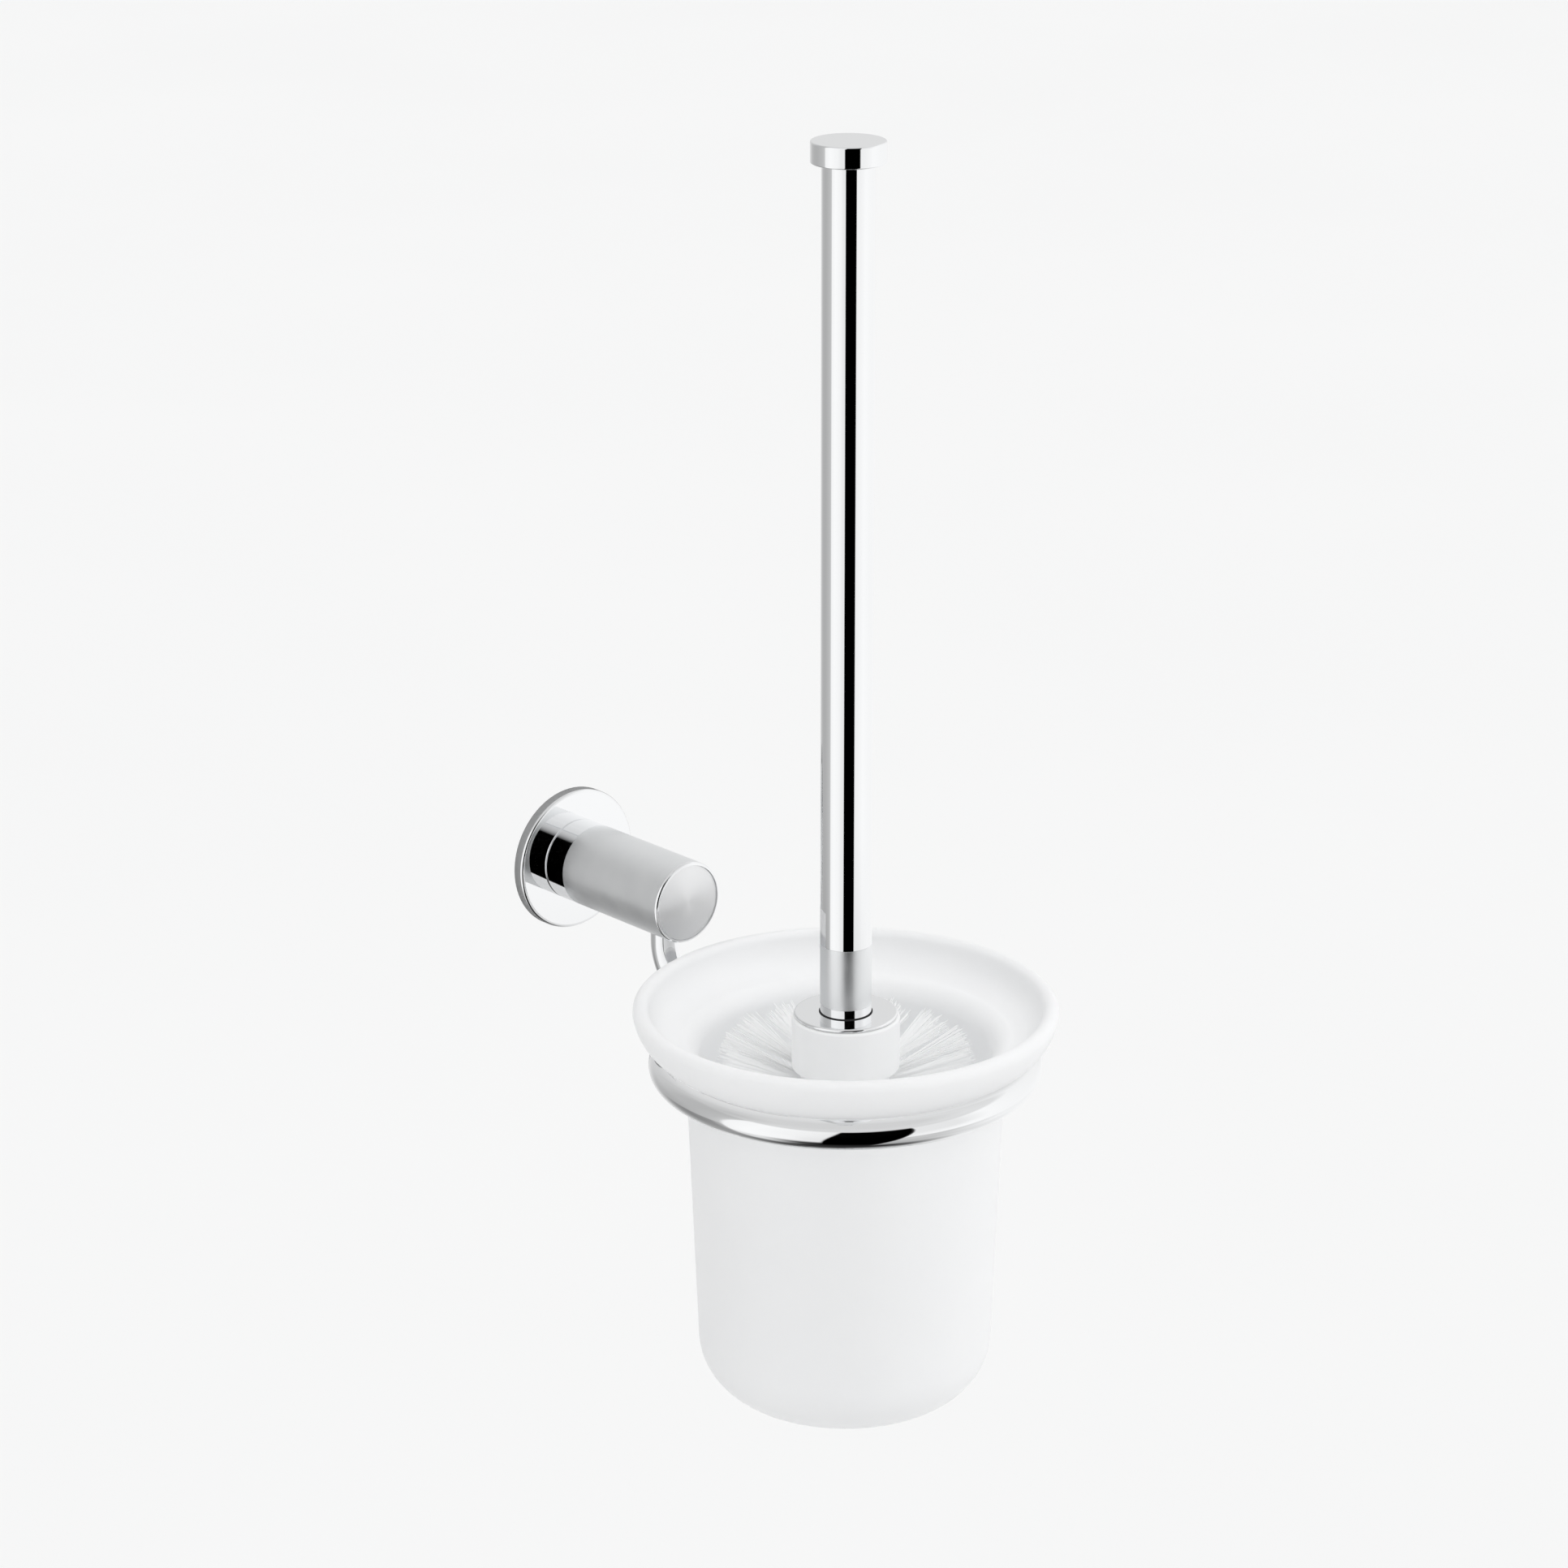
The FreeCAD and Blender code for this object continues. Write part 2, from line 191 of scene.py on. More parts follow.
def torus(name, major, minor, height, around=240, section=56):
    vertices = []
    for i in range(around):
        angle = 2 * math.pi * i / around
        for j in range(section):
            tilt = 2 * math.pi * j / section
            vertices.append(on_brush(major + minor * math.cos(tilt), angle,
                                     height + minor * math.sin(tilt)))
    faces = []
    for i in range(around):
        for j in range(section):
            a, b = i * section, (i + 1) % around * section
            k = (j + 1) % section
            faces.append((a + j, b + j, b + k, a + k))
    piece = make_object(name, vertices, faces)
    outward(piece)
    return piece


def finish_piece(piece, body, node, material):
    """Give a piece its material, tie it to the body, and hide the CAD node that it shows."""
    piece.data.materials.append(material)
    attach(piece, body)
    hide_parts(node)


# ------------------------------------------------------------------ material helpers


class Shader:
    """A material and short ways to add nodes to it."""

    def __init__(self, name, **values):
        self.material = bpy.data.materials.new(name)
        self.material.use_nodes = True
        self.tree = self.material.node_tree
        self.main = next(n for n in self.tree.nodes if n.type == "BSDF_PRINCIPLED")
        for socket, value in values.items():
            self.main.inputs[socket.replace("_", " ")].default_value = value

    def node(self, kind, **settings):
        made = self.tree.nodes.new("ShaderNode" + kind)
        for key, value in settings.items():
            setattr(made, key, value)
        return made

    def join(self, source, target):
        self.tree.links.new(source, target)

    def position(self, scale=(1, 1, 1)):
        """Object coordinates, in metres, stretched by a scale."""
        coordinates = self.node("TexCoord")
        mapping = self.node("Mapping")
        mapping.inputs["Scale"].default_value = scale
        self.join(coordinates.outputs["Object"], mapping.inputs["Vector"])
        return mapping.outputs["Vector"]

    def noise(self, where, scale, detail=3.0, rough=0.55):
        made = self.node("TexNoise")
        made.inputs["Scale"].default_value = scale
        made.inputs["Detail"].default_value = detail
        made.inputs["Roughness"].default_value = rough
        self.join(where, made.inputs["Vector"])
        return made.outputs["Fac"]

    def spread(self, source, low, high, start=0.3, end=0.7):
        """Map a value that lies around the middle to a range."""
        made = self.node("MapRange")
        made.inputs["From Min"].default_value = start
        made.inputs["From Max"].default_value = end
        made.inputs["To Min"].default_value = low
        made.inputs["To Max"].default_value = high
        self.join(source, made.inputs["Value"])
        return made.outputs["Result"]

    def blend(self, factor, first, second):
        made = self.node("Mix", data_type="RGBA")
        made.inputs[6].default_value = (*first, 1)
        made.inputs[7].default_value = (*second, 1)
        self.join(factor, made.inputs["Factor"])
        return made.outputs[2]

    def bump(self, height, strength, distance, under=None):
        made = self.node("Bump")
        made.inputs["Strength"].default_value = strength
        made.inputs["Distance"].default_value = distance
        self.join(height, made.inputs["Height"])
        if under:
            self.join(under, made.inputs["Normal"])
        self.join(made.outputs["Normal"], self.main.inputs["Normal"])
        return made.outputs["Normal"]


def polished_chrome():
    """Bright plating: nearly a mirror, with faint polishing swirls and breath marks."""
    s = Shader("polished_chrome", Metallic=1.0)
    where = s.position()
    smears = s.noise(where, 45, 4)
    s.join(s.spread(smears, 0.012, 0.05), s.main.inputs["Roughness"])
    tone = s.noise(where, 18, 2)
    s.join(s.blend(tone, (0.905, 0.915, 0.925), (0.935, 0.94, 0.945)),
           s.main.inputs["Base Color"])
    s.bump(s.noise(where, 60, 2), 0.02, 0.00002)
    return s.material


def satin_chrome(name, roughness):
    """Bead-blasted plating: it mirrors softly, in slightly uneven clouds."""
    s = Shader(name, Metallic=1.0)
    where = s.position()
    cloud = s.noise(where, 170, 3)
    grain = s.noise(where, 3200, 3, 0.65)
    s.join(s.spread(cloud, roughness - 0.025, roughness + 0.035), s.main.inputs["Roughness"])
    s.join(s.blend(cloud, (0.86, 0.875, 0.885), (0.91, 0.92, 0.925)),
           s.main.inputs["Base Color"])
    s.bump(grain, 0.1, 0.00003)
    return s.material


def satin_face():
    """The post's end disc, brushed in circles, which fans the light out from its middle."""
    s = Shader("satin_face", Metallic=1.0)
    s.main.inputs["Anisotropic"].default_value = 0.6
    s.main.inputs["Anisotropic Rotation"].default_value = 0.25
    coordinates = s.node("TexCoord")
    apart = s.node("SeparateXYZ")
    s.join(coordinates.outputs["Object"], apart.inputs["Vector"])
    flat = s.node("CombineXYZ")
    s.join(apart.outputs["X"], flat.inputs["X"])
    s.join(apart.outputs["Z"], flat.inputs["Y"])
    radius = s.node("VectorMath", operation="LENGTH")
    s.join(flat.outputs["Vector"], radius.inputs[0])
    circle = s.node("CombineXYZ")
    s.join(radius.outputs["Value"], circle.inputs["X"])
    rings = s.noise(circle.outputs["Vector"], 5200, 3, 0.7)
    s.join(s.spread(rings, 0.40, 0.45), s.main.inputs["Roughness"])
    s.join(s.blend(rings, (0.94, 0.945, 0.95), (0.96, 0.965, 0.97)),
           s.main.inputs["Base Color"])
    tangent = s.node("Tangent", direction_type="RADIAL", axis="Y")
    s.join(tangent.outputs["Tangent"], s.main.inputs["Tangent"])
    s.bump(rings, 0.04, 0.00001)
    return s.material


def frosted_glass():
    """Acid-etched glass: light passes but is spread, and the skin is finely grained."""
    s = Shader("frosted_glass", IOR=1.46)
    s.main.inputs["Transmission Weight"].default_value = 0.12
    s.main.inputs["Subsurface Weight"].default_value = 0.5
    s.main.inputs["Subsurface Radius"].default_value = (1.0, 1.0, 1.0)
    s.main.inputs["Subsurface Scale"].default_value = 0.004
    where = s.position()
    cloud = s.noise(where, 35, 3)
    s.join(s.spread(cloud, 0.40, 0.48), s.main.inputs["Roughness"])
    s.join(s.blend(cloud, (0.903, 0.908, 0.916), (0.922, 0.926, 0.933)),
           s.main.inputs["Base Color"])
    s.bump(s.noise(where, 2600, 2), 0.08, 0.00004)
    return s.material


def opal_plastic():
    """The brush head: milky moulded plastic."""
    s = Shader("opal_plastic", IOR=1.49)
    s.main.inputs["Subsurface Weight"].default_value = 0.35
    s.main.inputs["Subsurface Radius"].default_value = (1.0, 1.0, 0.95)
    s.main.inputs["Subsurface Scale"].default_value = 0.003
    where = s.position()
    cloud = s.noise(where, 70, 3)
    s.join(s.spread(cloud, 0.32, 0.46), s.main.inputs["Roughness"])
    s.join(s.blend(cloud, (0.935, 0.945, 0.95), (0.965, 0.97, 0.97)),
           s.main.inputs["Base Color"])
    s.bump(s.noise(where, 900, 3), 0.15, 0.00005)
    return s.material


def nylon():
    """Bristles: no two filaments are quite the same white."""
    s = Shader("nylon_bristle", IOR=1.53)
    geometry = s.node("NewGeometry")
    each = geometry.outputs["Random Per Island"]
    s.join(s.blend(each, (0.915, 0.92, 0.922), (0.96, 0.96, 0.96)),
           s.main.inputs["Base Color"])
    grain = s.noise(s.position((900, 900, 900)), 1.0, 2)
    s.join(s.spread(grain, 0.28, 0.45), s.main.inputs["Roughness"])
    s.bump(grain, 0.1, 0.00002)
    return s.material


def rubber():
    s = Shader("black_rubber", IOR=1.5)
    s.main.inputs["Specular IOR Level"].default_value = 0.2
    where = s.position()
    grain = s.noise(where, 2500, 3)
    s.join(s.spread(grain, 0.5, 0.75), s.main.inputs["Roughness"])
    s.join(s.blend(grain, (0.010, 0.010, 0.011), (0.03, 0.03, 0.032)),
           s.main.inputs["Base Color"])
    s.bump(grain, 0.2, 0.00004)
    return s.material


def zinc():
    """The hidden plate and stud: zinc plating with its crystal patches."""
    s = Shader("zinc_plating", Metallic=1.0)
    where = s.position()
    patches = s.node("TexVoronoi")
    patches.inputs["Scale"].default_value = 260
    s.join(where, patches.inputs["Vector"])
    s.join(s.spread(patches.outputs["Color"], 0.28, 0.5, 0, 1), s.main.inputs["Roughness"])
    cloud = s.noise(where, 120, 4)
    s.join(s.blend(cloud, (0.55, 0.57, 0.59), (0.72, 0.73, 0.74)),
           s.main.inputs["Base Color"])
    s.bump(cloud, 0.15, 0.00006)
    return s.material


def dark_steel():
    s = Shader("blackened_steel", Metallic=1.0)
    where = s.position()
    cloud = s.noise(where, 400, 4)
    s.join(s.spread(cloud, 0.32, 0.55), s.main.inputs["Roughness"])
    s.join(s.blend(cloud, (0.06, 0.06, 0.065), (0.14, 0.14, 0.145)),
           s.main.inputs["Base Color"])
    s.bump(s.noise(where, 1500, 2), 0.15, 0.00005)
    return s.material


chrome = polished_chrome()
satin_post = satin_chrome("satin_chrome_post", 0.38)
satin_handle = satin_chrome("satin_chrome_handle", 0.38)
face_material = satin_face()
glass = frosted_glass()
plastic = opal_plastic()
bristle = nylon()
washer_black = rubber()
zinc_plate = zinc()
screw_steel = dark_steel()

for node, material in (("wall_plate", zinc_plate), ("brush_stud", zinc_plate),
                       ("post_core", chrome), ("grub_screw", screw_steel),
                       ("arm_lock_screw", screw_steel)):
    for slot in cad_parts[node].material_slots:
        slot.material = material

# ------------------------------------------------------------------ bracket

rosette = lathe("rosette_shell", outline(
    (9.0, 2.8, 0), (22.3, 2.8, 0.3), (22.3, 0.0, 0.15), (ROSETTE_R, 0.0, 0.2),
    (ROSETTE_R, 4.0, 1.0), (9.0, 4.0, 0)), on_post, 200)
finish_piece(rosette, "holder", "rosette", chrome)

sleeve = lathe("post_satin_sleeve", outline(
    (POST_BORE, 12.61, 0), (POST_R, 12.61, 0.04), (POST_R, 58.29, 0.03),
    (POST_BORE, 58.28, 0)), on_post)
finish_piece(sleeve, "holder", "post_sleeve", satin_post)

end_cap = lathe("post_end_ring", outline(
    (0.0, 53.5, 0), (6.0, 53.5, 0.3), (6.0, 56.3, 0), (POST_BORE, 56.3, 0),
    (POST_BORE, 58.3, 0), (POST_R, 58.3, 0.05), (POST_R, 59.5, 1.02), (12.43, 59.5, 0.03),
    (12.43, 58.5, 0), (0.0, 58.5, 0)), on_post)
finish_piece(end_cap, "holder", "post_end_cap", chrome)

DOME_TOP, DOME_FALL = 59.46, 0.4   # the end face, at its middle and down to its edge
dome = [(r, DOME_TOP - DOME_FALL * (r / POST_BORE) ** 2)
        for r in (12.38, 12.3, 12, 10, 8, 6, 4, 2, 0)]
end_disc = lathe("post_end_face", [(0, 58.5), (12.38, 58.5), (12.38, 58.9)] + dome, on_post)
finish_piece(end_disc, "holder", "post_end_disc", face_material)

ring = torus("ring_rod", RING_R, ROD_R, RING_Z)
finish_piece(ring, "holder", "support_ring", chrome)
ring.visible_shadow = False   # bright metal throws on as much light as it stops

ring_level = RIM_Z + RING_Z
bend_centre = Vector((0, ARM_Y - ARM_BEND, ring_level + ARM_BEND))
route = [Vector((0, ARM_Y, 5.0)), Vector((0, ARM_Y, 4.5))]
for step in range(9):
    route.append(Vector((0, ARM_Y, 4.0 - (4.0 - bend_centre.z) * step / 8)))
for step in range(1, 25):
    turn = math.radians(90 * step / 24)
    route.append(bend_centre + ARM_BEND * Vector((0, math.cos(turn), -math.sin(turn))))
route += [Vector((0, y, ring_level)) for y in (-65, -68, -72, -75.5)]
bent_arm = sweep("bent_arm", route, ROD_R)
finish_piece(bent_arm, "holder", "arm", chrome)

# ------------------------------------------------------------------ bowl


def arc(centre, radius, first, last, step=3.0):
    """Points on an arc, in degrees."""
    count = max(2, math.ceil(abs(last - first) / step))
    points = []
    for i in range(count + 1):
        angle = math.radians(first + (last - first) * i / count)
        points.append((centre[0] + radius * math.cos(angle),
                       centre[1] + radius * math.sin(angle)))
    return points


def heading(start, end):
    return math.degrees(math.atan2(end[1] - start[1], end[0] - start[0]))


WALL = 4.4              # thickness of the glass at the cup
TAPER = 0.0387          # how much wider the cup gets for each millimetre up
BOWL_END = -131.4       # underside of the foot, from the rim
BOWL_FLOOR = -125.9     # inside of the floor
FOOT_ROUND, FLOOR_ROUND = 19.6, 15.5
NECK_ROUND, INNER_NECK_ROUND = 2.5, 6.5
DISH_CENTRE = (50.3, -0.5)
DISH_OUTER, DISH_INNER = 16.0, 10.8     # radii of the flaring dish about that centre
LIP = 2.6               # half the thickness of the rounded rim


def cup_radius(height):
    return 49.5 + TAPER * (height + 30)


def touching(x, away):
    """The centre at x of an arc that touches the dish, away from the dish's centre."""
    return (x, DISH_CENTRE[1] - math.sqrt(away ** 2 - (x - DISH_CENTRE[0]) ** 2))


def straight(points, end, step=6.0):
    """Extend a line of points to an end in even steps."""
    start = points[-1]
    count = max(1, round(math.dist(start, end) / step))
    return points + [(start[0] + (end[0] - start[0]) * i / count,
                      start[1] + (end[1] - start[1]) * i / count)
                     for i in range(1, count)]


def bowl_points():
    """The bowl's section: foot, cup, neck, dish and rounded rim, then back down inside."""
    lean = math.degrees(math.atan(TAPER))
    lip_rise = DISH_CENTRE[1] + LIP
    lip_centre = (DISH_CENTRE[0] + math.sqrt((DISH_OUTER - LIP) ** 2 - lip_rise ** 2), -LIP)
    lip_way = heading(DISH_CENTRE, lip_centre)
    neck = touching(cup_radius(RING_Z) + NECK_ROUND, DISH_OUTER + NECK_ROUND)
    inner = touching(cup_radius(RING_Z) - WALL + INNER_NECK_ROUND, DISH_INNER + INNER_NECK_ROUND)
    foot_z = BOWL_END + FOOT_ROUND
    foot = (cup_radius(foot_z) - FOOT_ROUND, foot_z)
    floor_z = BOWL_FLOOR + FLOOR_ROUND
    floor = (cup_radius(floor_z) - WALL - FLOOR_ROUND, floor_z)

    points = [(0, BOWL_END)]
    points = straight(points, (foot[0], BOWL_END)) + arc(foot, FOOT_ROUND, -90, -lean)
    upper = arc(neck, NECK_ROUND, 180 - lean, heading(neck, DISH_CENTRE), 6)
    points = straight(points, upper[0]) + upper
    points += arc(DISH_CENTRE, DISH_OUTER, heading(DISH_CENTRE, neck), lip_way)[1:]
    points += arc(lip_centre, LIP, lip_way, lip_way + 180, 9)[1:]
    points += arc(DISH_CENTRE, DISH_INNER, lip_way, heading(DISH_CENTRE, inner))[1:]
    points += arc(inner, INNER_NECK_ROUND, heading(inner, DISH_CENTRE), 180 - lean)[1:]
    lower = arc(floor, FLOOR_ROUND, -lean, -90)
    points = straight(points, lower[0]) + lower
    return straight(points, (0, BOWL_FLOOR)) + [(0, BOWL_FLOOR)]


bowl = lathe("frosted_bowl", bowl_points(), on_brush, 200)
finish_piece(bowl, "bowl", "glass_bowl", glass)
bowl.visible_shadow = False   # frosted glass lets the light through to what stands inside
bowl.visible_glossy = False   # the bright metal shows the studio, not the glass beside it

# ------------------------------------------------------------------ brush

cap = lathe("handle_knob", outline(
    (0.0, 250.7, 0), (6.9, 250.7, 0.4), (6.9, 262.7, 0), (11.3, 262.7, 0.35),
    (11.3, 269.2, 0.5), (0.0, 269.2, 0)), on_brush)
finish_piece(cap, "brush", "handle_cap", chrome)

tube = lathe("handle_rod", outline(
    (TUBE_BORE, 19.41, 0), (TUBE_R, 19.41, 0.03), (TUBE_R, 262.68, 0.1),
    (TUBE_BORE, 262.68, 0)), on_brush)
finish_piece(tube, "brush", "handle_tube", chrome)

collar = lathe("handle_satin_band", outline(
    (TUBE_BORE, -0.14, 0), (TUBE_R, -0.14, 0.03), (TUBE_R, 19.39, 0.03),
    (TUBE_BORE, 19.39, 0)), on_brush)
finish_piece(collar, "brush", "handle_sleeve", satin_handle)

foot_band = lathe("handle_foot_band", outline(
    (4.0, -3.0, 0), (TUBE_R, -3.0, 0.1), (TUBE_R, -0.16, 0.03), (TUBE_BORE, -0.17, 0),
    (TUBE_BORE, 34.0, 0.3), (4.0, 34.0, 0)), on_brush)
finish_piece(foot_band, "brush", "handle_end", chrome)

washer = lathe("washer_ring", outline(
    (STUD_R, -3.2, 0), (8.35, -3.2, 0.08), (8.35, -3.0, 0.08), (STUD_R, -3.0, 0)), on_brush)
finish_piece(washer, "brush", "handle_washer", washer_black)

plate = lathe("cover_plate", outline(
    (STUD_R, -4.4, 0), (16.05, -4.4, 0.58), (16.05, -3.2, 0.58), (STUD_R, -3.2, 0)),
    on_brush, 200)
finish_piece(plate, "brush", "cover_disc", chrome)

head = lathe("head_core", outline(
    (STUD_R, -4.4, 0), (STUD_R, -34.0, 0), (0.0, -34.0, 0), (0.0, HEAD_END, 0),
    (HEAD_R, HEAD_END, 6.0), (HEAD_R, -21.5, 0.4), (16.8, -21.5, 0.5),
    (16.8, -4.4, 0.9)), on_brush)
finish_piece(head, "brush", "brush_head", plastic)

# Bristles: each tuft leaves its hole as a tight bundle and spreads into loose filaments.
LEANS = (20.0, 6.0, 4.0, 2.0, 0.0, -3.0, -8.0, -14.0)   # of the rows, in degrees, top first
FILAMENTS = 64          # in a tuft
ROW_TUFTS, END_TUFTS = 14, 8
FIRST_ROW_Z, ROW_PITCH = -26.0, 10.3
END_LEAN = -52.0


def add_filament(vertices, faces, points, thick):
    """One three-sided filament through the given points, blunt at its tip."""
    first = len(vertices)
    ahead = (points[-1] - points[0]).normalized()
    side = ahead.orthogonal().normalized()
    other = ahead.cross(side)
    for i, point in enumerate(points):
        radius = thick * (1.0 if i < len(points) - 1 else 0.7)
        for j in range(3):
            angle = 2 * math.pi * j / 3
            vertices.append(point + (side * math.cos(angle) + other * math.sin(angle)) * radius)
    for i in range(len(points) - 1):
        for j in range(3):
            a, b = first + 3 * i + j, first + 3 * i + (j + 1) % 3
            faces.append((a, b, b + 3, a + 3))
    last = len(vertices)
    faces.append((last - 3, last - 2, last - 1))
    faces.append((first + 2, first + 1, first))


def add_tuft(vertices, faces, chance, root, ahead, sideways, length, flare):
    """The filaments of one tuft. flare is how far its tips stray sideways and up or down."""
    up = ahead.cross(sideways)
    for _ in range(FILAMENTS):
        away = math.sqrt(chance.random())
        angle = chance.uniform(0, 2 * math.pi)
        u, v = away * math.cos(angle), away * math.sin(angle)
        start = root + (sideways * u + up * v) * 1.45
        reach = length * chance.uniform(0.955, 1.0)
        lean_u = u * flare[0] + chance.gauss(0, 0.55)
        lean_v = v * flare[1] + chance.gauss(0, 0.45)
        tip = start + ahead * reach + sideways * lean_u + up * lean_v
        middle = start + ahead * reach * 0.5 + (sideways * lean_u + up * lean_v) * 0.36
        near = start + ahead * reach * 0.14
        add_filament(vertices, faces, [start - ahead * 2, near, middle, tip],
                     chance.uniform(0.13, 0.17))


def add_spoke(vertices, faces, chance, angle, root_r, root_z, lean, length, flare):
    """A tuft that leaves the head at an angle round it and leans up or down."""
    out = Vector((math.cos(angle), math.sin(angle), 0))
    root = Vector((0, AXIS_Y, RIM_Z + root_z)) + out * root_r
    ahead = out * math.cos(lean) + Vector((0, 0, math.sin(lean)))
    sideways = Vector((-math.sin(angle), math.cos(angle), 0))
    add_tuft(vertices, faces, chance, root, ahead, sideways, length, flare)


def finish_bristles(name, node, vertices, faces):
    piece = make_object(name, vertices, faces, smooth=False)
    finish_piece(piece, "brush", node, bristle)
    piece.visible_shadow = False   # clear nylon hardly shades the tufts behind it


def bristle_row(row):
    chance = random.Random(100 + row)
    vertices, faces = [], []
    lean = math.radians(LEANS[row])
    reach = 40.0 if row == 0 else 38.4
    length = (reach - HEAD_R) / math.cos(lean) - 0.6
    for i in range(ROW_TUFTS):
        angle = 2 * math.pi * (i + (0.5 if row % 2 else 0.0)) / ROW_TUFTS
        add_spoke(vertices, faces, chance, angle, HEAD_R, FIRST_ROW_Z - ROW_PITCH * row, lean,
                  length, (5.4, 2.6))
    finish_bristles("bristles_%d" % (row + 1), "bristle_row_%d" % (row + 1), vertices, faces)


def bristle_end():
    chance = random.Random(200)
    vertices, faces = [], []
    for i in range(END_TUFTS):
        angle = 2 * math.pi * (i + 0.5) / END_TUFTS
        add_spoke(vertices, faces, chance, angle, 7.5, HEAD_END, math.radians(END_LEAN), 16.5,
                  (3.4, 2.4))
    finish_bristles("bristles_lower_end", "bristle_end", vertices, faces)


for number in range(len(LEANS)):
    bristle_row(number)
bristle_end()

# ------------------------------------------------------------------ floor, light and camera


def pale_floor():
    s = Shader("pale_floor")
    where = s.position()
    cloud = s.noise(where, 1.5, 3)
    s.join(s.blend(cloud, (0.90, 0.903, 0.903), (0.913, 0.915, 0.915)),
           s.main.inputs["Base Color"])
    s.join(s.spread(cloud, 0.75, 0.9), s.main.inputs["Roughness"])
    s.main.inputs["Specular IOR Level"].default_value = 0.1
    far, level = 30000, -900
    corners = [(-far, -far, level), (far, -far, level), (far, far, level), (-far, far, level)]
    floor = make_object("floor", corners, [(0, 1, 2, 3)], smooth=False)
    floor.data.materials.append(s.material)
    floor.visible_glossy = False   # mirrors see the studio below, not an endless white floor


def mirror_card(name, vertices, faces, dark, light):
    """A staged matt card that only mirrors see, between two greys."""
    s = Shader(name)
    grain = s.noise(s.position(), 300, 2)
    s.join(s.spread(grain, 0.8, 0.95), s.main.inputs["Roughness"])
    s.join(s.blend(grain, (dark, dark, dark), (light, light, light)), s.main.inputs["Base Color"])
    card = make_object(name, vertices, faces)
    card.data.materials.append(s.material)
    card.visible_camera = False
    card.visible_diffuse = False
    card.visible_transmission = False
    card.visible_shadow = False


def bowl_cards():
    """Curved cards that the arm mirrors where the bowl's back and its dish stand beside it. Their
    greys are a painted reflection of the bowl, darker where the arm mirrors the dish.
    """
    radius, steps = 65.0, 12
    # painted reflection: 0.80 for the bowl's back, a darker 0.68 for its dish
    for name, low, high, grey in (("white_card", -120.0, -9.0, 0.80),
                                  ("grey_card", -9.0, 8.0, 0.68)):
        vertices = []
        for i in range(steps + 1):
            angle = math.radians(50 + 80 * i / steps)
            vertices.append(on_brush(radius, angle, low))
            vertices.append(on_brush(radius, angle, high))
        faces = [(2 * i, 2 * i + 2, 2 * i + 3, 2 * i + 1) for i in range(steps)]
        mirror_card(name, vertices, faces, grey, grey + 0.02)


def wall_strip():
    """The shaded strip of wall round the rosette, which the rosette's rim mirrors: a card whose
    grey is painted shade, with the rosette's own shadow falling on it too.
    """
    around = 96
    vertices = []
    for i in range(around):
        for r in (ROSETTE_R - 1.0, ROSETTE_R + 5.5):
            vertices.append(on_post(r, 2 * math.pi * i / around, -0.3))
    faces = []
    for i in range(around):
        a, b = 2 * i, 2 * ((i + 1) % around)
        faces.append((a, a + 1, b + 1, b))
    # the dark greys 0.36 to 0.38 are painted shade of the wall
    mirror_card("wall_strip", vertices, faces, 0.36, 0.38)


def ramp(tree, source, stops):
    """A colour ramp through (position, brightness) stops."""
    made = tree.nodes.new("ShaderNodeValToRGB")
    band = made.color_ramp
    band.elements[0].position = stops[0][0]
    band.elements[0].color = (stops[0][1],) * 3 + (1,)
    band.elements[1].position = stops[-1][0]
    band.elements[1].color = (stops[-1][1],) * 3 + (1,)
    for position, value in stops[1:-1]:
        band.elements.new(position).color = (value,) * 3 + (1,)
    tree.links.new(source, made.inputs["Fac"])
    return made.outputs["Color"]


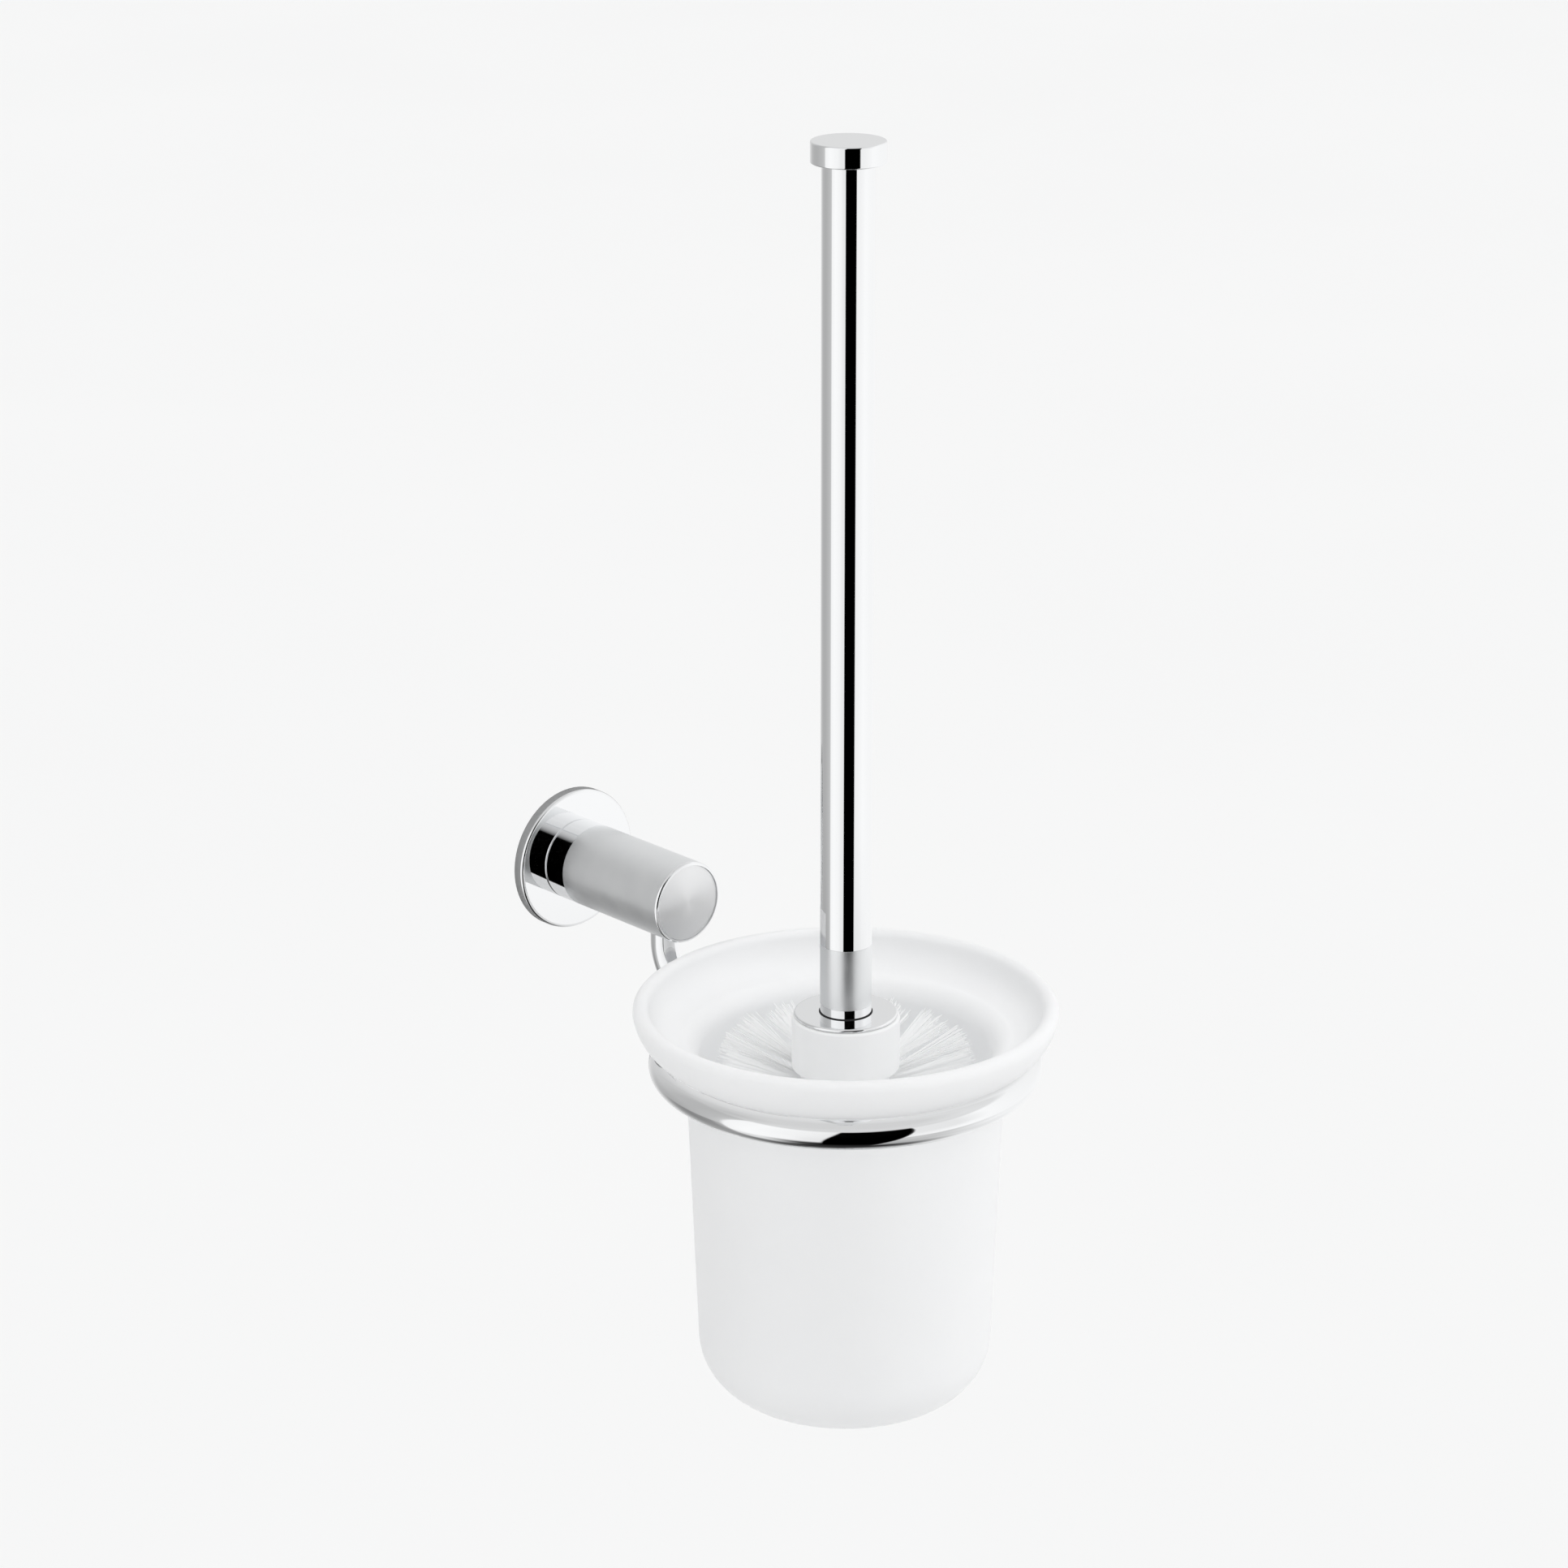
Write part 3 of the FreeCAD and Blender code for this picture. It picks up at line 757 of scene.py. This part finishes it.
def studio():
    """Soft light all round. Mirrors see two tall softboxes with a dark room between them.

    Bearings run in degrees about the vertical: 0 is straight out from the wall, 90 is to the
    right of someone who faces the wall, and 180 is the wall itself.
    """
    world = bpy.data.worlds.new("studio")
    bpy.context.scene.world = world
    world.use_nodes = True
    tree = world.node_tree
    background = next(n for n in tree.nodes if n.type == "BACKGROUND")

    def math_node(kind, first, second=None):
        made = tree.nodes.new("ShaderNodeMath")
        made.operation = kind
        for i, value in enumerate((first, second)):
            if value is None:
                continue
            if isinstance(value, (int, float)):
                made.inputs[i].default_value = value
            else:
                tree.links.new(value, made.inputs[i])
        return made.outputs["Value"]

    def mix(factor, first, second):
        made = tree.nodes.new("ShaderNodeMix")
        made.data_type = "RGBA"
        for i, value in ((0, factor), (6, first), (7, second)):
            if isinstance(value, (int, float)):
                made.inputs[i].default_value = (value,) * 3 + (1,)
            else:
                tree.links.new(value, made.inputs[i])
        return made.outputs[2]

    coordinates = tree.nodes.new("ShaderNodeTexCoord")
    apart = tree.nodes.new("ShaderNodeSeparateXYZ")
    tree.links.new(coordinates.outputs["Generated"], apart.inputs["Vector"])
    backwards = math_node("MULTIPLY", apart.outputs["Y"], -1.0)
    rise = math_node("ARCSINE", apart.outputs["Z"])
    lean = -0.15   # of the softboxes: bearing gained for each degree up, none at -15 degrees
    slant = math_node("MULTIPLY_ADD", rise, lean)
    slant.node.inputs[2].default_value = lean * math.radians(15)
    bearing = math_node("ADD", math_node("ARCTAN2", apart.outputs["X"], backwards), slant)
    turn = math_node("MULTIPLY_ADD", bearing, 0.5 / math.pi)
    turn.node.inputs[2].default_value = 0.5
    height = math_node("MULTIPLY_ADD", rise, 1 / math.pi)
    height.node.inputs[2].default_value = 0.5

    def bearings(*stops):
        return ramp(tree, turn, [((degrees + 180) / 360, value) for degrees, value in stops])

    def heights(*stops):
        return ramp(tree, height, [((degrees + 90) / 180, value) for degrees, value in stops])

    def layer(under, start, full, *stops):
        """Cover what lies above an elevation, from start, where it begins, to full."""
        return mix(heights((-90, 0), (start, 0), (full, 1), (90, 1)), under, bearings(*stops))

    seen = bearings((-180, 0.12), (-144, 0.12), (-112, 0.03), (0, 0.02), (45, 0.04), (120, 0.3),
                    (150, 0.12), (180, 0.12))
    seen = layer(seen, -72, -56, (-180, 0.42), (-150, 0.33), (-125, 0.33), (-118, 0.7),
                 (-98, 0.78), (-82, 0.3), (-72, 0.08), (-54, 0), (-10, 0), (-7, 0.45),
                 (10, 0.5), (60, 0.75), (118, 0.9), (150, 0.7), (180, 0.42))
    seen = layer(seen, -50, -36, (-180, 0.5), (-165, 0.32), (-150, 0.25), (-128, 0.30),
                 (-119, 0.5), (-116, 0.97), (-100, 1.03), (-75, 0.98), (-65, 0.88), (-55, 0.86),
                 (-54, 0), (-8.5, 0), (-7.5, 0.6), (20, 0.62), (42, 0.8), (64, 0.95),
                 (118, 0.98), (145, 0.88), (165, 0.7), (180, 0.5))
    seen = layer(seen, -25, -20, (-180, 0.5), (-165, 0.45), (-150, 0.45), (-128, 0.52),
                 (-119, 0.6), (-116, 0.97), (-100, 1.03), (-75, 0.98), (-65, 0.88), (-55, 0.86),
                 (-54, 0), (-8.5, 0), (-7.5, 0.93), (32, 1.03), (64, 1.0), (118, 0.98),
                 (145, 0.88), (165, 0.7), (180, 0.5))
    seen = layer(seen, -14, 4, (-180, 0.6), (-160, 0.5), (-140, 0.49), (-124, 0.53),
                 (-119, 0.6), (-116, 0.98), (-98, 1.02), (-65, 0.93), (-55, 0.88), (-54, 0),
                 (-8.5, 0), (-7.5, 0.85), (20, 0.85), (42, 1.02), (100, 0.95), (125, 0.77),
                 (150, 0.73), (180, 0.6))
    seen = layer(seen, 38, 44, (-180, 0.62), (-150, 0.55), (-130, 0.62), (-107, 0.72), (-54, 0.72),
                 (-50, 0.72), (-14, 0.72), (-8, 0.72), (60, 0.8), (120, 0.75), (150, 0.72),
                 (180, 0.62))
    seen = layer(seen, 54, 68, (-180, 0.68), (180, 0.68))

    soft = mix(heights((-90, 0), (-20, 0), (60, 1), (90, 1)),
               bearings((-180, 0.765), (-90, 0.745), (-20, 0.855), (60, 0.93), (180, 0.765)), 0.93)
    path = tree.nodes.new("ShaderNodeLightPath")
    backdrop = 0.93   # even, for the camera
    plain = mix(path.outputs["Is Camera Ray"], soft, backdrop)
    mirrored = math_node("SUBTRACT", path.outputs["Is Glossy Ray"],
                         path.outputs["Is Transmission Ray"])
    mirrored.node.use_clamp = True
    tree.links.new(mix(mirrored, plain, seen), background.inputs["Color"])


def key_light():
    """A very soft key from the upper right."""
    data = bpy.data.lights.new("key", "SUN")
    data.energy = 0.52
    data.angle = math.radians(50)
    light = bpy.data.objects.new("key", data)
    light.rotation_euler = Vector((0.55, -0.75, 1.0)).to_track_quat("Z", "Y").to_euler()
    light.visible_glossy = False
    bpy.context.scene.collection.objects.link(light)


def camera():
    data = bpy.data.cameras.new("camera")
    data.sensor_width = 36.0
    data.lens = 104.63
    data.clip_start, data.clip_end = 0.01, 200.0
    made = bpy.data.objects.new("camera", data)
    yaw, pitch, roll = -0.7346, -0.3362, -0.0015
    turn = (Matrix.Rotation(yaw, 4, "Z") @ Matrix.Rotation(math.pi / 2 + pitch, 4, "X")
            @ Matrix.Rotation(roll, 4, "Z"))
    made.matrix_world = Matrix.Translation((-0.8925, -1.0934, 0.5175)) @ turn
    bpy.context.scene.collection.objects.link(made)
    bpy.context.scene.camera = made


pale_floor()
bowl_cards()
wall_strip()
studio()
key_light()
camera()
bpy.context.scene.view_settings.view_transform = "Standard"
bpy.context.scene.cycles.max_bounces = 16
bpy.context.scene.cycles.diffuse_bounces = 10   # light reaches down into the white bowl
